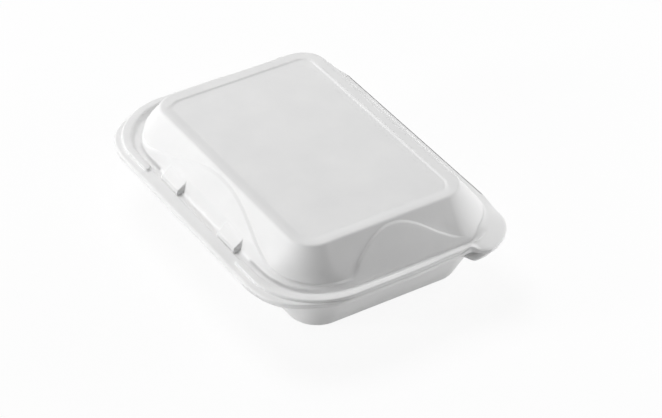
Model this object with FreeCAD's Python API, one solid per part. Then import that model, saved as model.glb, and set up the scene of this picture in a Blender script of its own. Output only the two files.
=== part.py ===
import FreeCAD
import Part
import math
import os

# Foam clamshell container, closed: a shallow lid hinged along one long side to a deeper tray.
# Millimetres. X runs along the fold, +Y is the fold side, -Y is the opening side, +Z is up.
# The origin is the middle of the footprint, on the surface that the tray stands on.

# Heights
lid_top_z = 63.0
lid_knee_z = 50.0
strip_z = 41.0
bead_rise = 2.0
groove_depth = 0.9

# Sheet and clearance
wall_thickness = 1.8
lid_rim_thickness = 1.8
tray_rim_thickness = 1.5
seam_gap = 0.3

# Outline of both rims, seen from above, as how far each edge stands outside the bead or the wall
fold_strip = 4.1
front_strip = 3.0
side_flange = 0.9
rim_corner_radius = 43.5

# Corner lobes at the opening side, for lifting the lid
lobe_radius = 32.5
lobe_overhang = 5.5
lid_waist_rise = 3.0
tray_waist_rise = 10.0
lid_waist_depth = 1.8
tray_waist_depth = 0.7
waist_run = 18.0
ease_length = 22.0
flare_length = 9.0
waist_start = (0.2, 0.4)
flare_start = (0.35, 0.5)
flare_end = (0.85, 0.73)

# Lid panel
panel_half_length = 88.0
panel_fold_y = 52.0
panel_front_y = -62.0
panel_corner_radius = 16.0
panel_edge_radius = 3.5
border_width = 4.6
border_rise = 1.0
border_slope_run = 1.2

# Lid wall, as how far it stands outside the panel at the knee and at the groove
knee_run_side = 9.7
knee_run_fold = 10.3
knee_run_front = 8.8
foot_run_side = 15.7
foot_run_fold = 14.0
foot_run_front = 14.3
foot_corner_radius = 30.2
knee_corner_radius = 25.6

# Raised lower part of the lid wall, which ends in a wavy ledge with one arch on each side
ledge_width = 1.2
ledge_low_z = 44.8
ledge_peak_z = 60.6
arch_inset_fold = 4.0
arch_inset_side = 12.0
arch_steps = 12

# Rim of the lid: groove, bead and outer flange
groove_width = 4.0
bead_width = 5.2
bead_edge_radius = 1.2
bead_half_gap = 52.7
bead_end_rise = 10.0

# Two lugs at the foot of the lid's fold-side wall
lug_centre_x = 33.0
lug_length = 19.5
lug_height = 8.0
lug_gap = 0.3
lug_face_height = 1.0

# Tray
tray_step_side = 1.1
tray_step_fold = 1.8
tray_step_front = 0.5
tray_top_corner_radius = 32.5
tray_draft = 0.523
tray_bottom_radius = 8.0

# Worked out
sheet_on_lid_wall = wall_thickness * math.hypot(1.0, foot_run_side / (lid_top_z - strip_z))
sheet_on_tray_wall = wall_thickness * math.hypot(1.0, tray_draft)
lid_rim_bottom_z = strip_z - lid_rim_thickness
bead_top_z = strip_z + bead_rise
groove_z = strip_z - groove_depth
tray_rim_top_z = lid_rim_bottom_z - seam_gap
tray_rim_bottom_z = tray_rim_top_z - tray_rim_thickness
foot_half_length = panel_half_length + foot_run_side + ledge_width
foot_fold_y = panel_fold_y + foot_run_fold + ledge_width
foot_radius = foot_corner_radius + ledge_width
bead_inner_half_length = foot_half_length + groove_width
bead_outer_half_length = bead_inner_half_length + bead_width
bead_inner_fold_y = foot_fold_y + groove_width
foot_front_y = panel_front_y - foot_run_front - ledge_width
bead_inner_front_y = foot_front_y - groove_width
bead_inner_radius = foot_radius + groove_width
fold_y = bead_inner_fold_y + bead_width + fold_strip
front_y = foot_front_y - front_strip
rim_half_length = bead_outer_half_length + side_flange
lobe_centre_x = rim_half_length + lobe_overhang - lobe_radius
lobe_centre_y = front_y + lobe_radius
lid_waist_x = bead_outer_half_length - lid_waist_depth
lid_waist_y = lobe_centre_y + lid_waist_rise
tray_waist_x = bead_outer_half_length - tray_waist_depth
tray_waist_y = lobe_centre_y + tray_waist_rise
bead_end_y = lobe_centre_y + bead_end_rise
lug_foot_y = bead_inner_fold_y - lug_gap
arch_half_length_fold = panel_half_length - arch_inset_fold
arch_half_length_side = (panel_fold_y - panel_front_y) / 2.0 - arch_inset_side
tray_top_half_length = foot_half_length + tray_step_side
tray_top_fold_y = foot_fold_y + tray_step_fold
tray_top_front_y = foot_front_y - tray_step_front
panel_middle_y = (panel_fold_y + panel_front_y) / 2.0
beyond_rim = lobe_centre_x + lobe_radius + lobe_radius


def point(x, y, z=0.0):
    return FreeCAD.Vector(x, y, z)


def line(a, b):
    return Part.LineSegment(a, b).toShape()


def corner_arc(centre_x, centre_y, radius, start_deg, z=0.0):
    """Quarter circle, anticlockwise from start_deg."""
    points = []
    for step in range(3):
        angle = math.radians(start_deg + 45.0 * step)
        points.append(point(centre_x + radius * math.cos(angle), centre_y + radius * math.sin(angle), z))
    return Part.Arc(*points).toShape()


def rounded_loop(half_length, low_y, high_y, radius, z):
    """Rounded rectangle at one level, symmetric end to end."""
    inner_x = half_length - radius
    inner_low = low_y + radius
    inner_high = high_y - radius
    edges = [
        line(point(-inner_x, low_y, z), point(inner_x, low_y, z)),
        corner_arc(inner_x, inner_low, radius, 270.0, z),
        line(point(half_length, inner_low, z), point(half_length, inner_high, z)),
        corner_arc(inner_x, inner_high, radius, 0.0, z),
        line(point(inner_x, high_y, z), point(-inner_x, high_y, z)),
        corner_arc(-inner_x, inner_high, radius, 90.0, z),
        line(point(-half_length, inner_high, z), point(-half_length, inner_low, z)),
        corner_arc(-inner_x, inner_low, radius, 180.0, z),
    ]
    return Part.Wire(edges)


def tapered(loops):
    """Solid with straight walls from each loop to the next."""
    return Part.makeLoft(loops, True, True)


def edges_at(shape, z):
    """Edges that lie flat at one level."""
    found = []
    for edge in shape.Edges:
        box = edge.BoundBox
        if abs(box.ZMin - z) < 0.001 and abs(box.ZMax - z) < 0.001:
            found.append(edge)
    return found


# Rim outlines, shared by the lid and the tray

def flare_edges(waist_x, waist_y):
    """Right-hand lobe: from the bead's outer edge, in to the waist, out and round to the front edge."""
    lobe_x = lobe_centre_x + lobe_radius
    reach = lobe_x - waist_x
    end_y = waist_y - flare_length
    end_angle = math.asin((lobe_centre_y - end_y) / lobe_radius)
    end = point(lobe_centre_x + lobe_radius * math.cos(end_angle), end_y)
    waist_depth = bead_outer_half_length - waist_x
    points = [
        point(bead_outer_half_length, waist_y + waist_run),
        point(waist_x + waist_start[0] * waist_depth, waist_y + waist_start[1] * waist_run),
        point(waist_x, waist_y),
        point(waist_x + flare_start[0] * reach, waist_y - flare_start[1] * flare_length),
        point(waist_x + flare_end[0] * reach, waist_y - flare_end[1] * flare_length),
        end,
    ]
    curve = Part.BSplineCurve()
    end_direction = point(-math.sin(end_angle), -math.cos(end_angle))
    curve.interpolate(Points=points, InitialTangent=point(0.0, -1.0), FinalTangent=end_direction)
    middle_angle = -(end_angle + math.pi / 2.0) / 2.0
    middle = point(lobe_centre_x + lobe_radius * math.cos(middle_angle),
                   lobe_centre_y + lobe_radius * math.sin(middle_angle))
    arc = Part.Arc(end, middle, point(lobe_centre_x, front_y)).toShape()
    return [curve.toShape(), arc]


def closed_wire(right_edges, crossing_edges):
    """Wire from right-hand edges, the same edges mirrored, and edges that cross the middle."""
    left_edges = [edge.mirror(point(0.0, 0.0), point(1.0, 0.0)) for edge in right_edges]
    return Part.Wire(Part.__sortEdges__(right_edges + left_edges + crossing_edges))


def prism(wire, low_z, high_z):
    solid = Part.Face(wire).extrude(point(0.0, 0.0, high_z - low_z))
    solid.translate(point(0.0, 0.0, low_z))
    return solid


def rim_plate(waist_x, waist_y, low_z, high_z):
    """Flat rim with both front lobes, not yet open in the middle."""
    inner_x = rim_half_length - rim_corner_radius
    inner_y = fold_y - rim_corner_radius
    ease_end = point(bead_outer_half_length, waist_y + waist_run)
    ease_start = point(rim_half_length, ease_end.y + ease_length)
    ease = Part.BSplineCurve()
    down = point(0.0, -1.0)
    ease.interpolate(Points=[ease_start, ease_end], InitialTangent=down, FinalTangent=down)
    right = [
        corner_arc(inner_x, inner_y, rim_corner_radius, 0.0),
        line(point(rim_half_length, inner_y), ease_start),
        ease.toShape(),
    ]
    right += flare_edges(waist_x, waist_y)
    crossing = [
        line(point(-inner_x, fold_y), point(inner_x, fold_y)),
        line(point(-lobe_centre_x, front_y), point(lobe_centre_x, front_y)),
    ]
    return prism(closed_wire(right, crossing), low_z, high_z)


# Lid

def lid_wall_loops(inset, low_z, high_z):
    """Loops of the lid's wall, moved in by inset, from low_z up to high_z."""
    panel = (panel_half_length, panel_front_y, panel_fold_y, panel_corner_radius)
    knee = (panel_half_length + knee_run_side, panel_front_y - knee_run_front,
            panel_fold_y + knee_run_fold, knee_corner_radius)
    foot = (panel_half_length + foot_run_side, panel_front_y - foot_run_front,
            panel_fold_y + foot_run_fold, foot_corner_radius)

    def loop_at(lower, upper, lower_z, upper_z, z):
        share = (z - lower_z) / (upper_z - lower_z)
        half, low, high, radius = [a + (b - a) * share for a, b in zip(lower, upper)]
        return rounded_loop(half - inset, low + inset, high - inset, radius - inset, z)

    return [
        loop_at(foot, knee, groove_z, lid_knee_z, low_z),
        loop_at(foot, knee, groove_z, lid_knee_z, lid_knee_z),
        loop_at(knee, panel, lid_knee_z, lid_top_z, high_z),
    ]


def lid_block(inset, low_z, high_z, edge_radius):
    """Lid as if it were solid up to high_z, with its rolled top edge."""
    block = tapered(lid_wall_loops(inset, low_z, high_z))
    return block.makeFillet(edge_radius, edges_at(block, high_z))


def arch_prism(half_length, across_angle):
    """Everything under one arch of the wavy ledge, running right across the lid."""
    points = []
    for step in range(arch_steps + 1):
        share = -1.0 + 2.0 * step / arch_steps
        rise = (ledge_peak_z - ledge_low_z) * (1.0 + math.cos(math.pi * share)) / 2.0
        points.append(point(share * half_length, -beyond_rim, ledge_low_z + rise))
    curve = Part.BSplineCurve()
    curve.interpolate(points)
    left = points[0]
    right = points[-1]
    left_foot = point(left.x, left.y, lid_rim_bottom_z)
    right_foot = point(right.x, right.y, lid_rim_bottom_z)
    edges = [curve.toShape(), line(right, right_foot), line(right_foot, left_foot), line(left_foot, left)]
    arch = Part.Face(Part.Wire(edges)).extrude(point(0.0, 2.0 * beyond_rim, 0.0))
    arch.rotate(point(0.0, 0.0), point(0.0, 0.0, 1.0), across_angle)
    arch.translate(point(0.0, panel_middle_y, 0.0))
    return arch


def corner_box(x_side, y_side):
    """Room under the low part of the wavy ledge at one corner, between two arches."""
    size = (beyond_rim - arch_half_length_fold, beyond_rim - arch_half_length_side)
    box = Part.makeBox(size[0], size[1], ledge_low_z - lid_rim_bottom_z,
                       point(arch_half_length_fold, arch_half_length_side, lid_rim_bottom_z))
    if x_side < 0:
        box = box.mirror(point(0.0, 0.0), point(1.0, 0.0))
    if y_side < 0:
        box = box.mirror(point(0.0, 0.0), point(0.0, 1.0))
    box.translate(point(0.0, panel_middle_y, 0.0))
    return box


def raised_wall(plain_wall):
    """Pieces of the lower lid wall that stand proud of the plain wall, up to the wavy ledge."""
    outer = tapered(lid_wall_loops(-ledge_width, lid_rim_bottom_z, lid_top_z))
    skin = outer.cut(plain_wall)
    under = [arch_prism(arch_half_length_fold, 0.0), arch_prism(arch_half_length_side, 90.0)]
    under += [corner_box(x_side, y_side) for x_side in (-1, 1) for y_side in (-1, 1)]
    return [skin.common(room) for room in under]


def lug(side):
    """Short block that fills the groove at the foot of the fold-side wall."""
    top_z = strip_z + lug_height
    corners = [
        point(0.0, panel_fold_y, lid_rim_bottom_z),
        point(0.0, lug_foot_y, lid_rim_bottom_z),
        point(0.0, lug_foot_y, strip_z + lug_face_height),
        point(0.0, panel_fold_y + knee_run_fold + ledge_width, top_z),
        point(0.0, panel_fold_y, top_z),
    ]
    block = Part.Face(Part.makePolygon(corners + corners[:1])).extrude(point(lug_length, 0.0, 0.0))
    block.translate(point(side * lug_centre_x - lug_length / 2.0, 0.0, 0.0))
    return block


def groove_ring():
    """Space of the groove round the foot of the lid's wall."""
    ring = rounded_loop(bead_inner_half_length, bead_inner_front_y, bead_inner_fold_y, bead_inner_radius, 0.0)
    return prism(ring, groove_z, bead_top_z)


def bead_and_front():
    """Bead along the fold corners and short sides, widening into the front rim and its lobes."""
    centre_x = bead_inner_half_length - bead_inner_radius
    centre_y = bead_inner_fold_y - bead_inner_radius
    outer_radius = bead_inner_radius + bead_width
    outer_y = bead_inner_fold_y + bead_width
    end_x = bead_half_gap + bead_width / 2.0
    under_wall_x = panel_half_length + knee_run_side
    under_wall_y = lid_waist_y
    right = [
        Part.Arc(point(end_x, bead_inner_fold_y), point(bead_half_gap, bead_inner_fold_y + bead_width / 2.0),
                 point(end_x, outer_y)).toShape(),
        line(point(end_x, outer_y), point(centre_x, outer_y)),
        corner_arc(centre_x, centre_y, outer_radius, 0.0),
        line(point(bead_outer_half_length, centre_y), point(bead_outer_half_length, lid_waist_y + waist_run)),
        line(point(end_x, bead_inner_fold_y), point(centre_x, bead_inner_fold_y)),
        corner_arc(centre_x, centre_y, bead_inner_radius, 0.0),
        line(point(bead_inner_half_length, centre_y), point(bead_inner_half_length, bead_end_y)),
        line(point(bead_inner_half_length, bead_end_y), point(under_wall_x, under_wall_y)),
    ]
    right += flare_edges(lid_waist_x, lid_waist_y)
    crossing = [
        line(point(-under_wall_x, under_wall_y), point(under_wall_x, under_wall_y)),
        line(point(-lobe_centre_x, front_y), point(lobe_centre_x, front_y)),
    ]
    raised = prism(closed_wire(right, crossing), lid_rim_bottom_z, bead_top_z)
    return raised.makeFillet(bead_edge_radius, edges_at(raised, bead_top_z))


def panel_recess():
    """Shallow recess that leaves a raised border round the top panel."""
    def loop_at(inset, z):
        return rounded_loop(panel_half_length - inset, panel_front_y + inset, panel_fold_y - inset,
                            panel_corner_radius - inset, z)
    return tapered([
        loop_at(border_width + border_slope_run, lid_top_z - border_rise),
        loop_at(border_width - border_slope_run, lid_top_z + border_rise),
    ])


def make_lid():
    rim = rim_plate(lid_waist_x, lid_waist_y, lid_rim_bottom_z, strip_z).cut(groove_ring())
    outside = lid_block(0.0, lid_rim_bottom_z, lid_top_z, panel_edge_radius)
    body = outside.multiFuse(raised_wall(outside) + [rim, bead_and_front(), lug(-1), lug(1)])
    body = body.cut(panel_recess())
    inside_top_z = lid_top_z - border_rise - wall_thickness
    inside = lid_block(sheet_on_lid_wall, lid_rim_bottom_z - wall_thickness, inside_top_z, panel_edge_radius)
    return body.cut(inside).removeSplitter()


# Tray

def tray_block(inset, low_z, high_z, bottom_radius):
    """Tray as if it were solid, moved in by inset, with its rounded bottom edge."""
    def loop_at(z):
        move = inset + tray_draft * (tray_rim_bottom_z - z)
        return rounded_loop(tray_top_half_length - move, tray_top_front_y + move, tray_top_fold_y - move,
                            tray_top_corner_radius - move, z)
    block = tapered([loop_at(low_z), loop_at(high_z)])
    return block.makeFillet(bottom_radius, edges_at(block, low_z))


def make_tray():
    outside = tray_block(0.0, 0.0, tray_rim_bottom_z, tray_bottom_radius)
    rim = rim_plate(tray_waist_x, tray_waist_y, tray_rim_bottom_z, tray_rim_top_z)
    inside = tray_block(sheet_on_tray_wall, wall_thickness, strip_z, tray_bottom_radius - wall_thickness)
    return outside.fuse(rim).cut(inside).removeSplitter()


os.makedirs("parts", exist_ok=True)
for name, shape in {"tray": make_tray(), "lid": make_lid()}.items():
    solid = shape.Solids[0]
    print(name, "solids", len(shape.Solids), "valid", solid.isValid(), "volume mm3", round(solid.Volume),
          "box", solid.BoundBox)
    solid.exportStep(f"parts/{name}.step")
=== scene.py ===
import math

import bpy
import numpy as np
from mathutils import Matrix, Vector


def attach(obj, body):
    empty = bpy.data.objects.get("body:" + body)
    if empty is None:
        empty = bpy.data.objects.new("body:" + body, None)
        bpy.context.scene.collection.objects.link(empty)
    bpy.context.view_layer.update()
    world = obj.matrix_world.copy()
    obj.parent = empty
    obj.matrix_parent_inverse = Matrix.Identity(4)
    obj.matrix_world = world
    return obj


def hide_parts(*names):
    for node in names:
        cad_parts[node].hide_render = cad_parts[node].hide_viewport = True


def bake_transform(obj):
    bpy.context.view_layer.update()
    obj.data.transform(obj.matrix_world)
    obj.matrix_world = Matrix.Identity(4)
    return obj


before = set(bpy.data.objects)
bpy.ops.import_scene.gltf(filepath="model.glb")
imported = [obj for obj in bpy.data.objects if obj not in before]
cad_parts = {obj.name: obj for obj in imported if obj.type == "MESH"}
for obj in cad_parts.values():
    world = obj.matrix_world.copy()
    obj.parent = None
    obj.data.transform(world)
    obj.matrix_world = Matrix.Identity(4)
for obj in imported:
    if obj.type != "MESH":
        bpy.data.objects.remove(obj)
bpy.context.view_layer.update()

# Lid
# The upper half of one thin sheet of white foam, drawn down over a former with its panel, wavy ledge,
# groove, bead, lugs and lobes all in one. They run into each other, so it is laid up as closed rings
# on one grid, from the panel's middle out to the rim's edge and back inside.

MM = 0.001
SHEET = 1.8
# Rounded rectangles: half length, front y, fold y, radius at the front corners, radius at the fold
PANEL = (88.0, -62.0, 52.0, 16.0, 16.0)
KNEE = (97.7, -70.8, 62.3, 25.6, 26.5)
FOOT = (103.7, -76.3, 65.0, 30.2, 39.6)
LID_TOP_Z = 63.0
KNEE_Z = 50.0
FOOT_Z = 41.0
PANEL_MIDDLE_Y = -5.0
# End of the straight part of the foot's fold side, and where it starts to stretch with a ring's size
FOLD_END_X = FOOT[0] - FOOT[4]
FOLD_FIXED_X = 57.0
# Middle of the arc that the foot makes at a front corner, and the rounded lengths of the arc and of the
# short side's straight part
CORNER_X = FOOT[0] - FOOT[3]
CORNER_Y = FOOT[1] + FOOT[3]
CORNER_RUN = 47.4
SHORT_SIDE_RUN = 72.0
LUG_CENTRE_X = 33.0
LUG_HALF_LENGTH = 9.75
BEAD_START_X = 51.5
# Places by a lug's end, as steps away from it, the least space that others leave between, and the space
# that is left before the end of a straight part and, in degrees, of a front corner
LUG_END_STEPS = (0.0, 0.12, 0.3, 0.6, 1.1, 1.8, 2.6)
LEAST_SPACE = 0.7
END_SPACE = 0.5
END_SPACE_DEG = 1.0


def even_steps(step, count, start=0.0):
    return [start + step * index for index in range(count)]


def around_the_rim():
    """Places round the rim, anticlockwise: end, reference x, share of the short side, direction outwards.

    They lie closer by the lugs, by the ends of the bead and at the front corners.
    """
    close = even_steps(step=0.4, count=12, start=BEAD_START_X)
    for lug_end in (LUG_CENTRE_X - LUG_HALF_LENGTH, LUG_CENTRE_X + LUG_HALF_LENGTH):
        close += [lug_end + side * step for side in (-1, 1) for step in LUG_END_STEPS]
    spread = [x for x in even_steps(step=2.3, count=28) if x < FOLD_END_X - END_SPACE]
    spread = [x for x in spread if min(abs(x - place) for place in close) > LEAST_SPACE]
    fold_side = sorted({round(side * x, 3) for x in close + spread for side in (-1, 1)})
    runs = even_steps(step=0.25, count=60) + even_steps(step=2.0, count=29, start=15.0)
    side_share = [-1.0 + 2.0 * run / SHORT_SIDE_RUN for run in runs if run < SHORT_SIDE_RUN - END_SPACE]
    turns = even_steps(step=0.35, count=46) + even_steps(step=2.5, count=30, start=16.1)
    front_corner = [math.radians(turn) for turn in turns if turn < 90.0 - END_SPACE_DEG]
    fold_corner = [math.pi / 2 * index / 30 for index in range(30)]

    rows = [(1, 0.0, share, 1.0, 0.0) for share in side_share]
    rows += [(1, 0.0, 1.0, math.cos(angle), math.sin(angle)) for angle in fold_corner]
    rows += [(0, x, 1.0, 0.0, 1.0) for x in [FOLD_END_X] + fold_side[::-1] + [-FOLD_END_X]]
    rows += [(-1, 0.0, 1.0, -math.cos(angle), math.sin(angle)) for angle in fold_corner[:0:-1]]
    rows += [(-1, 0.0, share, -1.0, 0.0) for share in [1.0] + side_share[::-1]]
    rows += [(-1, 0.0, -1.0, -math.cos(angle), -math.sin(angle)) for angle in front_corner[1:]]
    rows += [(0, CORNER_X * share, -1.0, 0.0, -1.0) for share in np.linspace(-1.0, 1.0, 65)]
    rows += [(1, 0.0, -1.0, math.cos(angle), -math.sin(angle)) for angle in front_corner[:0:-1]]
    return np.array(rows)


AROUND = around_the_rim()
END = AROUND[:, 0]
NORMAL = AROUND[:, 3:5]
ON_FOLD = NORMAL[:, 1] > 0.999
ON_FRONT = NORMAL[:, 1] < -0.999
ON_SIDE = np.abs(NORMAL[:, 0]) > 0.999


def loop(half, front, fold, front_radius, fold_radius):
    """Plan of a rounded rectangle, with a point for each place round the rim."""
    radius = np.where(NORMAL[:, 1] > 0.0, fold_radius, front_radius)
    reference = AROUND[:, 1]
    past = np.clip((np.abs(reference) - FOLD_FIXED_X) / (FOLD_END_X - FOLD_FIXED_X), 0.0, 1.0)
    stretch = np.sign(reference) * past * (half - fold_radius - FOLD_END_X)
    along = np.where(ON_FOLD, reference + stretch, reference * (half - front_radius) / CORNER_X)
    x = along + END * (half - radius) + radius * NORMAL[:, 0]
    low = front + front_radius
    high = fold - fold_radius
    y = low + (high - low) * (AROUND[:, 2] + 1.0) / 2.0 + radius * NORMAL[:, 1]
    return np.stack([x, y], axis=1)


def inset(sizes, distance):
    """Sizes of the rounded rectangle that lies a distance inside another."""
    half, front, fold, front_radius, fold_radius = sizes
    return (half - distance, front + distance, fold - distance,
            front_radius - distance, fold_radius - distance)


def ring(plan, z):
    """One ring of points: a plan, and one height or a height for each place."""
    return np.column_stack([plan, np.broadcast_to(z, len(plan))])


def between(first, second, share):
    return first + (second - first) * np.reshape(share, (-1, 1))


def soft_step(value):
    """0 up to 0 and 1 from 1 on, with a smooth rise between."""
    value = np.clip(value, 0.0, 1.0)
    return value * value * (3.0 - 2.0 * value)


def fade(place, start, length):
    """0 before start and 1 from a length past it, with a smooth rise between."""
    return soft_step((place - start) / length)


PANEL_PLAN = loop(*PANEL)
KNEE_PLAN = loop(*KNEE)
FOOT_PLAN = loop(*FOOT)
FROM_MIDDLE = np.abs(FOOT_PLAN[:, 0])
# Distance along the foot past the start of a front corner, below zero on the short side
FAR_BACK = -200.0
PAST = np.where(ON_SIDE, CORNER_Y - FOOT_PLAN[:, 1],
                np.arctan2(-NORMAL[:, 1], np.abs(NORMAL[:, 0])) * FOOT[3])
PAST = np.where(NORMAL[:, 1] > 0.0, FAR_BACK, PAST)
# Where each form fades out or in along PAST, and the length that this takes
SIDE_FADE = (-44.0, 30.0)
WAIST_FADE = (-38.0, 30.0)
LEDGE_FADE = (-8.0, 12.0)
BEAD_FADE = (-8.0, 9.0)
GROOVE_FADE = (4.0, 14.0)
# 1 at the waists and round the front
WAIST = fade(PAST, *WAIST_FADE)
# 1 where the groove has run out, and where the bead has opened out into the lobes' surface
GROOVELESS = np.where(ON_FRONT, 1.0, fade(PAST, *GROOVE_FADE))
BEADLESS = np.where(ON_FRONT, 1.0, fade(PAST, *BEAD_FADE))
# 1 round the front corners, where the ledge runs out into one smooth wall
FRONT_LEDGE_FADE = (50.0, 18.0)
PLAIN_CORNER = np.where(ON_FRONT, fade(FROM_MIDDLE, *FRONT_LEDGE_FADE), fade(PAST, *LEDGE_FADE))
# 1 on the fold side and 0 at the short sides, for what softens or rounds off towards the fold
SOFT_FOOT = np.clip(NORMAL[:, 1], 0.0, 1.0) ** 2
FOLD_ROUND = np.where(ON_FOLD, 1.0, np.clip(NORMAL[:, 1], 0.0, 1.0) ** 4)


def near_middle(limit, length):
    """1 on the fold side nearer its middle than a limit, and 0 past it, over a length."""
    return np.where(ON_FOLD, soft_step((limit - FROM_MIDDLE) / length), 0.0)


PANEL_DROP = 0.8
BORDER_INSET = 2.4
DISH_INSET = 8.6
BORDER_EDGE_RADIUS = 2.4
BORDER_EDGE_STEPS = 7
WALL_TOP_ANGLE = math.radians(53.0)
PANEL_SHARES = (0.06, 0.2, 0.4, 0.6, 0.8, 0.93, 1.0)
BORDER_SHARES = (0.05, 0.1, 0.15, 0.2, 0.25, 0.35, 0.5, 0.65, 0.8, 1.0)
# The step down from the border is this many times as steep again on the front side and the +x end, and
# the change takes up more of the corners between, the smaller the blend
BORDER_STEEPER = 3.0
BORDER_BLEND = 0.7


def rolled_edge(radius, top_z, distance, steps):
    """Round edge from the panel over to the wall, a distance inside the panel's outline."""
    tangent = radius * math.tan(WALL_TOP_ANGLE / 2)
    rings = []
    for step in range(steps + 1):
        turn = WALL_TOP_ANGLE * step / steps
        rings.append(ring(loop(*inset(PANEL, distance + tangent - radius * math.sin(turn))),
                          top_z - radius * (1.0 - math.cos(turn))))
    return rings


def panel_rings():
    """The panel, its border and the rolled edge, from the middle out."""
    middle = np.array([0.0, PANEL_MIDDLE_Y])
    dish = loop(*inset(PANEL, DISH_INSET))
    rings = [ring(middle + (dish - middle) * share, LID_TOP_Z - PANEL_DROP) for share in PANEL_SHARES]
    steepness = 1.0 + BORDER_STEEPER * soft_step(0.5 + BORDER_BLEND * (NORMAL[:, 0] - NORMAL[:, 1]))
    for share in BORDER_SHARES:
        rings.append(ring(loop(*inset(PANEL, DISH_INSET + (BORDER_INSET - DISH_INSET) * share)),
                          LID_TOP_Z - PANEL_DROP * (1.0 - soft_step(share * steepness))))
    return rings + rolled_edge(BORDER_EDGE_RADIUS, LID_TOP_Z, 0.0, BORDER_EDGE_STEPS)


def wall_plan(z, outset):
    """Plan of the lid's wall at height z, moved out by outset. Both may change round the rim."""
    z = np.broadcast_to(z, len(AROUND))
    lower = between(FOOT_PLAN, KNEE_PLAN, (z - FOOT_Z) / (KNEE_Z - FOOT_Z))
    upper = between(KNEE_PLAN, PANEL_PLAN, (z - KNEE_Z) / (LID_TOP_Z - KNEE_Z))
    plan = np.where((z < KNEE_Z)[:, None], lower, upper)
    return plan + NORMAL * np.reshape(outset, (-1, 1))


# The arches: their middle on the long sides, their half lengths, and how full they are at the front
ARCH_MIDDLE_X = -3.0
ARCH_ON_FOLD = 93.0
ARCH_ON_SIDE = 44.0
ARCH_FULLNESS = 1.15
LEDGE_LOW_Z = 43.6
LEDGE_PEAK_Z = 61.2
LEDGE_STAND = 1.2
# The ledge from above, as height over its line and distance out, between the plain wall and its foot
LEDGE_TOP = 0.55
LEDGE_FOOT = 0.9
LEDGE_SECTION = ((0.32, 0.05), (0.1, 0.33), (-0.12, 0.72), (-0.42, 1.05), (-LEDGE_FOOT, LEDGE_STAND))


def ledge_height():
    """Height of the wavy ledge: one arch on each side, low round the corners."""
    along_fold = np.abs(KNEE_PLAN[:, 0] - ARCH_MIDDLE_X) / ARCH_ON_FOLD
    along_side = np.abs(KNEE_PLAN[:, 1] - PANEL_MIDDLE_Y) / ARCH_ON_SIDE
    along_side = np.where(KNEE_PLAN[:, 1] < PANEL_MIDDLE_Y, along_side ** ARCH_FULLNESS, along_side)
    across = np.where(np.abs(NORMAL[:, 1]) > np.abs(NORMAL[:, 0]), along_fold, along_side)
    arch = (1.0 + np.cos(math.pi * np.clip(across, 0.0, 1.0))) / 2.0
    return LEDGE_LOW_Z + (LEDGE_PEAK_Z - LEDGE_LOW_Z) * arch


LUG_TOP_Z = 47.6
LUG_FOOT_Y = 70.1
LUG_FOOT_Z = 43.1
LUG_HOLLOW = 1.25
LUG_END_LENGTH = 0.7
INSIDE_LUG = LUG_HALF_LENGTH - np.abs(FROM_MIDDLE - LUG_CENTRE_X)
ON_LUG = np.where(ON_FOLD, soft_step(0.5 + INSIDE_LUG / LUG_END_LENGTH), 0.0)
# Where the wall gives way to the rim: on the short sides, this much higher at the fold, at the front, and
# everywhere at least this far below the ledge's line
SIDE_WALL_END_Z = 40.9
FOLD_WALL_RISE = 0.9
WALL_END_Z = SIDE_WALL_END_Z + FOLD_WALL_RISE * SOFT_FOOT
FRONT_WALL_END_Z = 44.2
LEDGE_TO_END = 1.65
# Rings of the lower wall, as shares of its height, and their level heights by the lugs
LOWER_WALL = ((0.12, 55.0), (0.24, 52.0), (0.34, 50.2), (0.42, 49.1), (0.5, 48.6), (0.58, 48.0),
              (0.66, 46.6), (0.74, 45.4), (0.82, 44.2), (0.9, 43.2), (0.96, 42.4), (1.0, 41.8))
LEVEL = near_middle(limit=56.0, length=8.0)
LEVEL_BELOW_LEDGE = 0.6


def wall_rings():
    """Plain upper wall, wavy ledge and the raised lower wall with its lugs."""
    ledge = ledge_height()
    ledge_foot = ledge - LEDGE_FOOT
    top_z = LID_TOP_Z - BORDER_EDGE_RADIUS * (1.0 - math.cos(WALL_TOP_ANGLE))
    rings = []

    def add(z, outset):
        even = LEDGE_STAND * (top_z - z) / (top_z - ledge_foot)
        rings.append(ring(wall_plan(z, outset + (even - outset) * PLAIN_CORNER), z))

    for share in (0.25, 0.5, 0.75, 1.0):
        add(top_z + (ledge + LEDGE_TOP - top_z) * share, 0.0)
    for rise, outset in LEDGE_SECTION:
        add(ledge + rise, outset)
    end_z = WALL_END_Z + (FRONT_WALL_END_Z - WALL_END_Z) * GROOVELESS
    end_z = np.minimum(end_z, ledge - LEDGE_TO_END)
    lug_top_y = wall_plan(LUG_TOP_Z, LEDGE_STAND)[:, 1]
    for share, level_z in LOWER_WALL:
        z = ledge_foot + (end_z - ledge_foot) * share
        z = z + (np.minimum(level_z, ledge_foot - LEVEL_BELOW_LEDGE * share) - z) * LEVEL
        plan = wall_plan(z, LEDGE_STAND)
        down = np.clip((LUG_TOP_Z - z) / (LUG_TOP_Z - LUG_FOOT_Z), 0.0, 1.0)
        face_y = lug_top_y + (LUG_FOOT_Y - lug_top_y) * down ** LUG_HOLLOW
        lug_y = np.where(z < LUG_TOP_Z, np.maximum(face_y, plan[:, 1]), plan[:, 1])
        plan[:, 1] += (lug_y - plan[:, 1]) * ON_LUG
        rings.append(ring(plan, z))
    return rings


# Rounded rectangles, given as the panel is: the bead's inner and outer edges, and the rim's edge
CREST = (110.8, -80.0, 71.7, 33.9, 44.0)
BEAD_EDGE = (114.9, -80.0, 75.8, 33.9, 44.0)
FRONT_Y = -81.1
RIM = (115.1, FRONT_Y, 80.4, 34.4, 43.4)
# The rim's edge round a fold corner: how far it is drawn in, at which turn in degrees, and how widely
CORNER_EASING = ((1.2, 27.0, 15.0), (-0.5, 60.0, 12.0))
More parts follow.
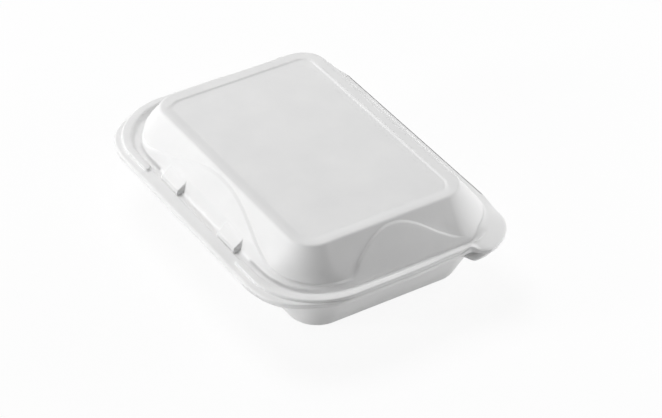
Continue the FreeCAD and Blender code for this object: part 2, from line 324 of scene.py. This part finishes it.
# Middle of a lobe's round edge, and how bluntly it meets the front edge
LOBE_CENTRE = (86.0, -49.2)
LOBE_BLUNT = 0.6
# Where a lobe's edge starts to leave the straight front edge, and the length that this takes
LOBE_SHOULDER = (76.0, 15.0)


def rim_edge(lobe_radius, waist_depth, flare_from, flare_to, side_inset):
    """Plan of a rim's edge: plain at the fold, drawn in at the waists, out and round at the lobes."""
    plain = loop(*inset(RIM, side_inset))
    plain[:, 1] += side_inset * NORMAL[:, 1]
    turn = np.degrees(np.arctan2(NORMAL[:, 1], np.abs(NORMAL[:, 0])))
    easing = sum(depth * np.exp(-((turn - middle) / width) ** 2) for depth, middle, width in CORNER_EASING)
    plain -= NORMAL * np.where(ON_SIDE | ON_FOLD | ON_FRONT, 0.0, easing)[:, None]
    waist = waist_depth * WAIST
    # How far out from the foot the lobe's circle and the front edge lie, of which the nearer one counts
    off_x = LOBE_CENTRE[0] - CORNER_X
    off_y = LOBE_CENTRE[1] - CORNER_Y
    along = np.abs(NORMAL[:, 0]) * off_x + NORMAL[:, 1] * off_y
    lobe = along + np.sqrt(lobe_radius ** 2 - off_x ** 2 - off_y ** 2 + along ** 2) - FOOT[3]
    front = (FRONT_Y - CORNER_Y) / np.minimum(NORMAL[:, 1], -0.001) - FOOT[3]
    lobe = lobe - LOBE_BLUNT * np.log1p(np.exp(np.clip((lobe - front) / LOBE_BLUNT, -40.0, 40.0)))
    front_x = CORNER_X + (FOOT[3] + front) * np.abs(NORMAL[:, 0])
    lobe = front + (lobe - front) * fade(front_x, *LOBE_SHOULDER)
    narrow = RIM[0] - side_inset - FOOT[0] - waist
    reach = narrow + (lobe - narrow) * fade(PAST, flare_from, flare_to - flare_from)
    reach = np.where(ON_FRONT, FOOT[1] - FRONT_Y, reach)
    shaped = FOOT_PLAN + NORMAL * reach[:, None]
    side = plain - NORMAL * np.where(ON_SIDE, waist, 0.0)[:, None]
    front_half = (NORMAL[:, 1] < 0.0).astype(float)
    return between(side, shaped, np.where(ON_SIDE, fade(PAST, *SIDE_FADE), front_half))


def lobe_span(start, rise, fall):
    """1 along a lobe, rising past start and falling before the end of the front corner."""
    return np.where(ON_FRONT, 0.0, fade(PAST, start, rise) * soft_step((CORNER_RUN - PAST) / fall))


GROOVE_Z = 39.7
STRIP_Z = 41.2
BEAD_Z = 43.0
LID_UNDER_Z = 39.2
LID_WAIST = 1.5
LID_EDGE = rim_edge(lobe_radius=33.4, waist_depth=LID_WAIST, flare_from=-0.8, flare_to=7.6, side_inset=0.0)
LOBE_DROOP = 2.6
LOBE_UNDER_DROOP = 1.0
LOBE_SHARE = lobe_span(start=0.5, rise=4.0, fall=14.0)
# Sections as pairs of a share of the way across and a share of the height, from the wall outwards
GROOVE_SECTION = ((0.07, 0.55), (0.15, 0.24), (0.25, 0.07), (0.38, 0.0), (0.5, 0.02), (0.62, 0.08),
                  (0.72, 0.25), (0.82, 0.53), (0.91, 0.8), (1.0, 0.97))
BEAD_SECTION = ((0.12, 1.0), (0.3, 1.02), (0.5, 1.03), (0.7, 1.02), (0.85, 1.0), (0.93, 0.94),
                (0.98, 0.8), (1.0, 0.58), (1.01, 0.3), (1.02, 0.05))
# The groove is a plain slot between the ends of the bead, with its deepest part further out: shares of
# the way across, and shares of the height
SLOT = near_middle(limit=BEAD_START_X, length=3.0)
SLOT_SECTION = ((0.0, 0.15, 0.4, 0.8, 0.9, 1.0), (0.7, 0.4, 0.12, 0.0, 0.3, 0.97))
# The slot at the foot of a lug, as shares of the way across it and its heights there
LUG_TOE = ((0.0, 0.25, 0.5, 0.75, 1.0), (LUG_FOOT_Z, 41.2, 40.2, 40.2, STRIP_Z))
# The groove falls from the wall over this share of its width, and over this part of it where it is sharp
GROOVE_FALL = 0.4
SHARP_FOOT = 0.4
# Round end of the bead: how far it reaches, and the length over which it falls
BEAD_NOSE = 2.6
BEAD_NOSE_FADE = 1.3
# The crest is drawn in at the waists by this part of what the rim's edge is
CREST_DRAWN_IN = 0.3
# Shares of the way from the wall to the edge, on the soft surface: crest, bead's width, flange, fillet
CREST_SHARE = 0.42
BEAD_SHARE = 0.45
FLANGE_SHARE = 0.905
FILLET_SHARE = 0.3
# Shares of the way from the crest to the edge, on the soft surface, and from the bead to the edge
BEAD_REACH = 0.78
FLANGE_REACH = 0.84
FLANGE_PLACE = 0.35
# Radius of the rim's upper edge, and what is added to it at the fold
LID_EDGE_RADIUS = 0.9
LID_EDGE_AT_FOLD = 0.9
LID_EDGE_STEPS = 6
# The lower corner of the edge, as distance in and height over the underside
LOWER_CORNER = ((0.0, 0.3), (0.1, 0.08), (0.4, 0.0))
UNDER_LIP = 0.4


def bead_share(across):
    """How much of the round-ended bead stands, across being -1 at its inner edge and 1 at its outer."""
    nose = BEAD_NOSE * (1.0 - np.sqrt(np.clip(1.0 - across ** 2, 0.0, 1.0)))
    return np.where(ON_FOLD, soft_step((FROM_MIDDLE - BEAD_START_X - nose) / BEAD_NOSE_FADE), 1.0)


def lid_rim_rings():
    """Groove, bead, flange and edge of the lid's rim, which give way to one soft surface at the front."""
    foot = wall_plan(WALL_END_Z, LEDGE_STAND)
    front_foot = wall_plan(FRONT_WALL_END_Z, LEDGE_STAND)
    drawn_in = NORMAL * (LID_WAIST * WAIST)[:, None]
    crest = loop(*CREST) - CREST_DRAWN_IN * drawn_in
    bead_edge = loop(*BEAD_EDGE) - drawn_in
    crest_z = STRIP_Z + (BEAD_Z - STRIP_Z) * bead_share(-1.0)
    rings = []

    def add(plain, z, share, soft, plainness):
        """One ring. On the soft surface its plan is soft, and it lies a share of the way out."""
        fillet = np.clip(1.0 - share / FILLET_SHARE, 0.0, 1.0) ** 3 * (FRONT_WALL_END_Z - BEAD_Z)
        front_z = BEAD_Z + fillet - LOBE_DROOP * LOBE_SHARE * share ** 1.5
        plan = between(plain, soft, plainness)
        rings.append(ring(plan, z + (front_z - z) * plainness))
        return plan

    for across, rise in GROOVE_SECTION:
        falling = across < GROOVE_FALL
        start_z = WALL_END_Z if falling else crest_z
        slot_rise = np.interp(across, *SLOT_SECTION)
        z = GROOVE_Z + (start_z - GROOVE_Z) * (rise + (slot_rise - rise) * SLOT)
        reach = across * (SHARP_FOOT + (1.0 - SHARP_FOOT) * SOFT_FOOT) if falling else across
        plain = between(foot, crest, reach)
        toe_y = LUG_FOOT_Y + (CREST[2] - LUG_FOOT_Y) * across
        plain[:, 1] += (toe_y - plain[:, 1]) * ON_LUG
        z = z + (np.interp(across, *LUG_TOE) - z) * ON_LUG
        share = CREST_SHARE * across
        crest_now = add(plain, z, share, between(front_foot, LID_EDGE, share), GROOVELESS)
    for across, rise in BEAD_SECTION:
        z = STRIP_Z + (BEAD_Z - STRIP_Z) * rise * bead_share(np.clip(2.0 * across - 1.0, -1.0, 1.0))
        add(between(crest, bead_edge, across), z, CREST_SHARE + BEAD_SHARE * across,
            between(crest_now, LID_EDGE, BEAD_REACH * across), BEADLESS)
    radius = LID_EDGE_RADIUS + LID_EDGE_AT_FOLD * FOLD_ROUND
    start = LID_EDGE - NORMAL * radius[:, None]
    add(between(bead_edge, start, FLANGE_PLACE), STRIP_Z, FLANGE_SHARE,
        between(crest_now, LID_EDGE, FLANGE_REACH), BEADLESS)
    top = STRIP_Z + (BEAD_Z - STRIP_Z - LOBE_DROOP * LOBE_SHARE) * BEADLESS
    for step in range(LID_EDGE_STEPS + 1):
        turn = math.pi / 2 * step / LID_EDGE_STEPS
        plan = start + NORMAL * (radius * math.sin(turn))[:, None]
        rings.append(ring(plan, top - radius * (1.0 - math.cos(turn))))
    droop = LOBE_UNDER_DROOP * LOBE_SHARE
    for inward, rise in LOWER_CORNER:
        z = np.minimum(LID_UNDER_Z - droop + rise, top - radius)
        rings.append(ring(LID_EDGE - NORMAL * inward, z))
    inner = wall_plan(FOOT_Z, UNDER_LIP)
    for share in (0.7, 0.35):
        rings.append(ring(between(inner, LID_EDGE, share), LID_UNDER_Z - droop * share ** 2))
    return rings


# The sheet measured level through the lid's wall, and the heights of the rings inside
LID_SHEET_ACROSS = SHEET * 1.2
LID_INSIDE_LEVELS = (41.5, 45.0, KNEE_Z, 54.0, 57.0)
# The rounded mouth of the hollow, as distance out from the wall and height over the underside
LID_MOUTH = ((UNDER_LIP, 0.0), (1.0 - LID_SHEET_ACROSS, 0.05), (0.3 - LID_SHEET_ACROSS, 0.7))
LID_INSIDE_EDGE_INSET = 1.0
LID_INSIDE_EDGE_STEPS = 5


def lid_inside_rings():
    """Underside of the rim and the hollow of the lid, back to the middle."""
    rings = [ring(wall_plan(FOOT_Z, outset), LID_UNDER_Z + rise) for outset, rise in LID_MOUTH]
    rings += [ring(wall_plan(z, -LID_SHEET_ACROSS), z) for z in LID_INSIDE_LEVELS]
    inside_z = LID_TOP_Z - PANEL_DROP - SHEET
    rings += rolled_edge(BORDER_EDGE_RADIUS + SHEET, inside_z,
                         LID_INSIDE_EDGE_INSET, LID_INSIDE_EDGE_STEPS)[::-1]
    middle = np.array([0.0, PANEL_MIDDLE_Y])
    dish = loop(*inset(PANEL, DISH_INSET))
    rings += [ring(middle + (dish - middle) * share, inside_z) for share in (1.0, 0.75, 0.5, 0.25, 0.06)]
    return rings


SEAM_GAP = 1e-6
CREASE_ANGLE = math.radians(62.0)


def formed_sheet(name, rings):
    """Closed skin through the rings: a grid laid along them, its seam joined and its ends filled."""
    rows = len(rings)
    columns = len(rings[0])
    bpy.ops.object.select_all(action="DESELECT")
    bpy.ops.mesh.primitive_grid_add(x_subdivisions=columns, y_subdivisions=rows - 1, size=2.0)
    piece = bpy.context.object
    piece.name = name
    mesh = piece.data
    mesh.name = name
    flat = np.empty(len(mesh.vertices) * 3)
    mesh.vertices.foreach_get("co", flat)
    flat = flat.reshape(-1, 3)
    column = np.rint((flat[:, 0] + 1.0) / 2.0 * columns).astype(int) % columns
    row = np.rint((flat[:, 1] + 1.0) / 2.0 * (rows - 1)).astype(int)
    places = np.array(rings)[row, column] * MM
    mesh.vertices.foreach_set("co", places.ravel())
    mesh.update()
    bpy.ops.object.mode_set(mode="EDIT")
    bpy.ops.mesh.select_mode(type="EDGE")
    bpy.ops.mesh.select_all(action="SELECT")
    bpy.ops.mesh.remove_doubles(threshold=SEAM_GAP)
    bpy.ops.mesh.select_all(action="DESELECT")
    bpy.ops.mesh.select_non_manifold(extend=False, use_boundary=True, use_wire=False,
                                     use_multi_face=False, use_non_contiguous=False, use_verts=False)
    bpy.ops.mesh.fill_holes(sides=0)
    bpy.ops.mesh.select_all(action="SELECT")
    bpy.ops.mesh.normals_make_consistent(inside=False)
    bpy.ops.mesh.select_mode(type="VERT")
    bpy.ops.object.mode_set(mode="OBJECT")
    bpy.ops.object.shade_smooth_by_angle(angle=CREASE_ANGLE)
    return piece


lid = formed_sheet("lid_sheet", panel_rings() + wall_rings() + lid_rim_rings() + lid_inside_rings())

FOAM_ROUGHNESS = 0.62
FOAM_SPECULAR = 0.35
# The faint mottle, as two places on its ramp and their colours
FOAM_SHADES = ((0.3, (0.80, 0.80, 0.80, 1.0)), (0.7, (0.835, 0.834, 0.832, 1.0)))
MOTTLE_SCALE = 45.0
MOTTLE_DETAIL = 4.0
CELL_SCALE = 900.0
CELL_SHARE = 0.35
GRAIN_SCALE = 260.0
GRAIN_DETAIL = 6.0
GRAIN_STRENGTH = 0.12
GRAIN_DEPTH = 0.0002


def foam_skin():
    """White closed-cell foam: matte, with a faint mottle and a fine pressed grain."""
    material = bpy.data.materials.new("white_foam")
    material.use_nodes = True
    nodes = material.node_tree.nodes
    links = material.node_tree.links
    shader = nodes["Principled BSDF"]
    shader.inputs["Roughness"].default_value = FOAM_ROUGHNESS
    shader.inputs["Specular IOR Level"].default_value = FOAM_SPECULAR
    mottle = nodes.new("ShaderNodeTexNoise")
    mottle.inputs["Scale"].default_value = MOTTLE_SCALE
    mottle.inputs["Detail"].default_value = MOTTLE_DETAIL
    shade = nodes.new("ShaderNodeValToRGB")
    for element, (position, color) in zip(shade.color_ramp.elements, FOAM_SHADES):
        element.position = position
        element.color = color
    cells = nodes.new("ShaderNodeTexVoronoi")
    cells.inputs["Scale"].default_value = CELL_SCALE
    grain = nodes.new("ShaderNodeTexNoise")
    grain.inputs["Scale"].default_value = GRAIN_SCALE
    grain.inputs["Detail"].default_value = GRAIN_DETAIL
    mix = nodes.new("ShaderNodeMath")
    mix.operation = "MULTIPLY_ADD"
    mix.inputs[1].default_value = CELL_SHARE
    bump = nodes.new("ShaderNodeBump")
    bump.inputs["Strength"].default_value = GRAIN_STRENGTH
    bump.inputs["Distance"].default_value = GRAIN_DEPTH
    place = nodes.new("ShaderNodeTexCoord")
    for texture in (mottle, cells, grain):
        links.new(place.outputs["Object"], texture.inputs["Vector"])
    links.new(mottle.outputs["Fac"], shade.inputs["Fac"])
    links.new(shade.outputs["Color"], shader.inputs["Base Color"])
    links.new(cells.outputs["Distance"], mix.inputs[0])
    links.new(grain.outputs["Fac"], mix.inputs[2])
    links.new(mix.outputs["Value"], bump.inputs["Height"])
    links.new(bump.outputs["Normal"], shader.inputs["Normal"])
    return material


white_foam = foam_skin()
lid.data.materials.append(white_foam)
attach(lid, "lid")
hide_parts("lid")

# Tray
# The deeper half of the same moulding: a flat floor, walls that open out by about 28 degrees, and a
# flat rim under the lid's. Its lobes start nearer the fold and curl down, so that a thumb finds them.

# The wall's outline where it meets the rim, and how far it comes in for each millimetre down
TRAY_TOP = (106.0, -78.0, 67.5, 34.0, 36.5)
TRAY_DRAFT = 0.523
TRAY_RIM_TOP_Z = 38.9
TRAY_RIM_UNDER_Z = 37.4
TRAY_BOTTOM_RADIUS = 10.0
TRAY_BOTTOM_STEPS = 8
# The sheet measured level through the tray's wall
TRAY_SHEET_ACROSS = 2.03
TRAY_FLOOR_SHARES = (0.06, 0.3, 0.6, 0.85, 0.97)
TRAY_CURL = 3.0
# Roundness of the rim's lower edge, and what is added to it at the fold
TRAY_EDGE_RADIUS = 0.5
TRAY_EDGE_AT_FOLD = 1.3
TRAY_EDGE_STEPS = 5
# The upper corner of the edge, as distance in and depth below the rim's top
TRAY_CORNER_RADIUS = 0.3
TRAY_UPPER_CORNER = ((0.08, 0.08), (TRAY_CORNER_RADIUS, 0.0))
# The fillet under the rim and the rounded mouth: the width, how far in and how far down the middle
# lies, and the depth at which the wall starts
UNDER_FILLET = (0.6, 0.45, 0.25, 0.8)
MOUTH_ROUND = (0.9, 0.65, 0.2, 0.9)


def tray_plan(z, distance):
    """Plan of the tray's wall at height z, a distance inside its outer face."""
    return loop(*inset(TRAY_TOP, distance + TRAY_DRAFT * (TRAY_RIM_UNDER_Z - z)))


def bowl_rings(floor_z, radius, distance, high_z):
    """Floor, rounded corner and wall of one face of the tray's sheet, from the middle upwards."""
    sweep = math.pi / 2 - math.atan(TRAY_DRAFT)
    flat = distance + TRAY_DRAFT * (TRAY_RIM_UNDER_Z - floor_z) + radius * math.tan(sweep / 2)
    middle = np.array([0.0, PANEL_MIDDLE_Y])
    floor_edge = loop(*inset(TRAY_TOP, flat))
    rings = [ring(middle + (floor_edge - middle) * share, floor_z) for share in TRAY_FLOOR_SHARES]
    for step in range(TRAY_BOTTOM_STEPS + 1):
        turn = sweep * step / TRAY_BOTTOM_STEPS
        rings.append(ring(loop(*inset(TRAY_TOP, flat - radius * math.sin(turn))),
                          floor_z + radius * (1.0 - math.cos(turn))))
    low_z = floor_z + radius * (1.0 - math.cos(sweep))
    for share in (0.2, 0.4, 0.6, 0.8, 1.0):
        z = low_z + (high_z - low_z) * share
        rings.append(ring(tray_plan(z, distance), z))
    return rings


def tray_rings():
    """Outside of the tray from the middle of its floor, rim and edge, and the inside back down."""
    edge = rim_edge(lobe_radius=30.6, waist_depth=2.4, flare_from=-6.0, flare_to=1.6, side_inset=0.7)
    curl = TRAY_CURL * lobe_span(start=-6.5, rise=8.0, fall=12.0)
    width, middle_in, middle_down, depth = UNDER_FILLET
    under = tray_plan(TRAY_RIM_UNDER_Z, 0.0) + NORMAL * width
    rings = bowl_rings(0.0, TRAY_BOTTOM_RADIUS, 0.0, TRAY_RIM_UNDER_Z - depth)
    rings.append(ring(under - NORMAL * middle_in, TRAY_RIM_UNDER_Z - middle_down))
    for share in (0.0, 0.2, 0.4, 0.6, 0.8):
        rings.append(ring(between(under, edge, share), TRAY_RIM_UNDER_Z - curl * share ** 2))
    radius = TRAY_EDGE_RADIUS + TRAY_EDGE_AT_FOLD * FOLD_ROUND
    edge_height = TRAY_RIM_TOP_Z - TRAY_RIM_UNDER_Z - TRAY_CORNER_RADIUS
    for step in range(TRAY_EDGE_STEPS + 1):
        turn = math.pi / 2 * step / TRAY_EDGE_STEPS
        plan = edge - NORMAL * (radius * (1.0 - math.sin(turn)))[:, None]
        rings.append(ring(plan, TRAY_RIM_UNDER_Z - curl + edge_height * (1.0 - math.cos(turn))))
    for inward, down in TRAY_UPPER_CORNER:
        rings.append(ring(edge - NORMAL * inward, TRAY_RIM_TOP_Z - curl - down))
    width, middle_in, middle_down, depth = MOUTH_ROUND
    mouth = tray_plan(TRAY_RIM_TOP_Z, TRAY_SHEET_ACROSS) + NORMAL * width
    for share in (0.8, 0.6, 0.4, 0.2, 0.0):
        rings.append(ring(between(mouth, edge, share), TRAY_RIM_TOP_Z - curl * share ** 2))
    rings.append(ring(mouth - NORMAL * middle_in, TRAY_RIM_TOP_Z - middle_down))
    inside = bowl_rings(SHEET, TRAY_BOTTOM_RADIUS - SHEET, TRAY_SHEET_ACROSS, TRAY_RIM_TOP_Z - depth)
    return rings + inside[::-1]


tray = formed_sheet("tray_sheet", tray_rings())
tray.data.materials.append(white_foam)
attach(tray, "tray")
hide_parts("tray")

# Fold
# The crease between the two rims: the same sheet pressed thin, drawn as one flat strip. It closes
# the gap behind the rims and makes one rounded hem of both when the box is shut.

FOLD_HALF_LENGTH = 70.0
FOLD_SKIN = 0.35
FOLD_LOW_Z = 38.55
FOLD_HIGH_Z = 39.55
FOLD_OUT = 0.03
FOLD_CREASE_ANGLE = math.radians(50.0)
FOLD_PLACE = (0.0, (RIM[2] + FOLD_OUT) * MM, (FOLD_LOW_Z + FOLD_HIGH_Z) / 2 * MM)
bpy.ops.object.select_all(action="DESELECT")
bpy.ops.mesh.primitive_grid_add(x_subdivisions=40, y_subdivisions=8, size=1.0,
                                rotation=(math.radians(90.0), 0.0, 0.0), location=FOLD_PLACE)
fold = bpy.context.object
fold.name = "fold_web"
fold.data.name = "fold_web"
fold.scale = (2 * FOLD_HALF_LENGTH * MM, (FOLD_HIGH_Z - FOLD_LOW_Z) * MM, 1.0)
bpy.ops.object.transform_apply(location=True, rotation=True, scale=True)
bpy.ops.object.mode_set(mode="EDIT")
bpy.ops.mesh.select_all(action="SELECT")
bpy.ops.mesh.flip_normals()
bpy.ops.object.mode_set(mode="OBJECT")
skin = fold.modifiers.new("skin", "SOLIDIFY")
skin.thickness = FOLD_SKIN * MM
skin.offset = -1.0
bpy.ops.object.modifier_apply(modifier="skin")
bpy.ops.object.shade_smooth_by_angle(angle=FOLD_CREASE_ANGLE)
fold.data.materials.append(white_foam)
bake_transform(fold)

# Floor
# The plain white surface that the box stands on, matte, which holds its soft shadow. It lies a tenth of
# a millimetre below the tray, so that the two don't share a face.

FLOOR_SIZE = 12.0
FLOOR_Z = -0.0001
FLOOR_COLOR = (0.92, 0.92, 0.92, 1.0)
FLOOR_ROUGHNESS = 0.9
WHITE = (1.0, 1.0, 1.0, 1.0)
WHITE_SHARE = 0.9
bpy.ops.object.select_all(action="DESELECT")
bpy.ops.mesh.primitive_plane_add(size=FLOOR_SIZE, location=(0.0, 0.0, FLOOR_Z))
floor = bpy.context.object
floor.name = "floor"


def white_surface(name):
    """Matte white with its shadows, and nine tenths plain white to the camera and in reflections."""
    material = bpy.data.materials.new(name)
    material.use_nodes = True
    nodes = material.node_tree.nodes
    links = material.node_tree.links
    shader = nodes["Principled BSDF"]
    shader.inputs["Base Color"].default_value = FLOOR_COLOR
    shader.inputs["Roughness"].default_value = FLOOR_ROUGHNESS
    shader.inputs["Specular IOR Level"].default_value = 0.0
    white = nodes.new("ShaderNodeEmission")
    white.inputs["Color"].default_value = WHITE
    white.inputs["Strength"].default_value = 1.0
    path = nodes.new("ShaderNodeLightPath")
    seen = path.outputs["Is Camera Ray"]
    for kind in ("Is Glossy Ray", "Is Transmission Ray"):
        either = nodes.new("ShaderNodeMath")
        either.operation = "MAXIMUM"
        links.new(seen, either.inputs[0])
        links.new(path.outputs[kind], either.inputs[1])
        seen = either.outputs["Value"]
    part = nodes.new("ShaderNodeMath")
    part.operation = "MULTIPLY"
    part.inputs[1].default_value = WHITE_SHARE
    mix = nodes.new("ShaderNodeMixShader")
    links.new(seen, part.inputs[0])
    links.new(part.outputs["Value"], mix.inputs["Fac"])
    links.new(shader.outputs["BSDF"], mix.inputs[1])
    links.new(white.outputs["Emission"], mix.inputs[2])
    links.new(mix.outputs["Shader"], nodes["Material Output"].inputs["Surface"])
    return material


floor.data.materials.append(white_surface("floor_white"))

# Light
# A soft key low on the fold side, a large soft lamp overhead, two weak fills on the opening side, and
# an even white surround.

SURROUND_STRENGTH = 0.17
LAMP_AIM = (0.0, 0.0, 0.03)
# Name, place, side of the square lamp in metres, and watts
LAMPS = (
    ("key", (0.4, 1.4928, 0.4141), 0.3, 13.2),
    ("overhead", (0.7483, 0.0655, 1.4127), 0.8, 15.4),
    ("near_fill", (-0.3, -0.5, 0.13), 0.22, 1.5),
    ("right_fill", (0.3, -1.1196, 0.3106), 0.6, 1.6),
)

world = bpy.data.worlds.new("studio")
world.use_nodes = True
bpy.context.scene.world = world
surround = world.node_tree.nodes["Background"]
surround.inputs["Color"].default_value = WHITE
surround.inputs["Strength"].default_value = SURROUND_STRENGTH
for name, place, side, watts in LAMPS:
    light = bpy.data.lights.new(name, "AREA")
    light.shape = "SQUARE"
    light.size = side
    light.energy = watts
    lamp = bpy.data.objects.new(name, light)
    bpy.context.scene.collection.objects.link(lamp)
    lamp.location = place
    lamp.rotation_euler = (Vector(LAMP_AIM) - Vector(place)).to_track_quat("-Z", "Y").to_euler()

# Camera
# Set where the photograph was taken from, by the short end on the fold side and looking down, with a
# long lens.

CAMERA_PLACE = (-1.1146, 0.6723, 0.9829)
CAMERA_HEADING_DEG = -31.914
CAMERA_PITCH_DEG = 36.581
CAMERA_LENS_MM = 146.7
CAMERA_SENSOR_MM = 36.0
camera_data = bpy.data.cameras.new("photo_camera")
camera_data.sensor_width = CAMERA_SENSOR_MM
camera_data.sensor_fit = "HORIZONTAL"
camera_data.lens = CAMERA_LENS_MM
camera = bpy.data.objects.new("photo_camera", camera_data)
bpy.context.scene.collection.objects.link(camera)
camera.location = CAMERA_PLACE
camera.rotation_euler = (math.radians(90.0 - CAMERA_PITCH_DEG), 0.0,
                         math.radians(CAMERA_HEADING_DEG - 90.0))
bpy.context.scene.camera = camera
bpy.context.scene.view_settings.view_transform = "Standard"
